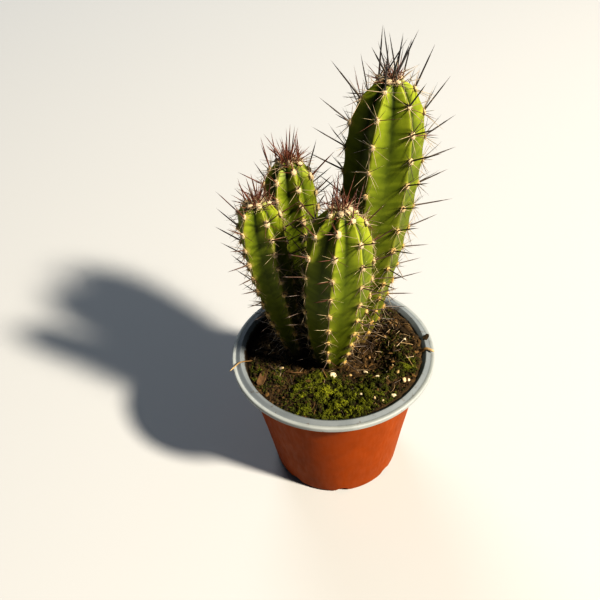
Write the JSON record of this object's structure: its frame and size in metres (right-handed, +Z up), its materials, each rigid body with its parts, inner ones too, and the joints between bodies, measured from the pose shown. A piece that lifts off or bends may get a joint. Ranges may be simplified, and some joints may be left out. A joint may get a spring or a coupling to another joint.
{
  "type": "potted toothpick cactus",
  "caption": "Potted columnar cactus: a clump of ribbed green stems with long dark spines, standing in potting mix in a round tapered plastic nursery pot with a flat lip.",
  "frame": {"origin": "centre of the pot's flat underside, on the pot's axis, where it rests", "axes": "+Z up along the pot's axis, -Y the front that the picture shows, +X to the right seen from the front"},
  "size_m": [0.1326, 0.1334, 0.2606],
  "materials": {
    "pot": "satin terracotta orange outside, light grey lip and inside",
    "soil": "rough dark peat mix with moss and pale grains",
    "stem": "waxy yellow-green skin with cream felted areoles and dark brown spines"
  },
  "bodies": {
    "root": {"pot": "pot", "soil": "soil", "stem_tall": "stem", "stem_front": "stem", "stem_left": "stem", "stem_back": "stem"}
  },
  "joints": []
}
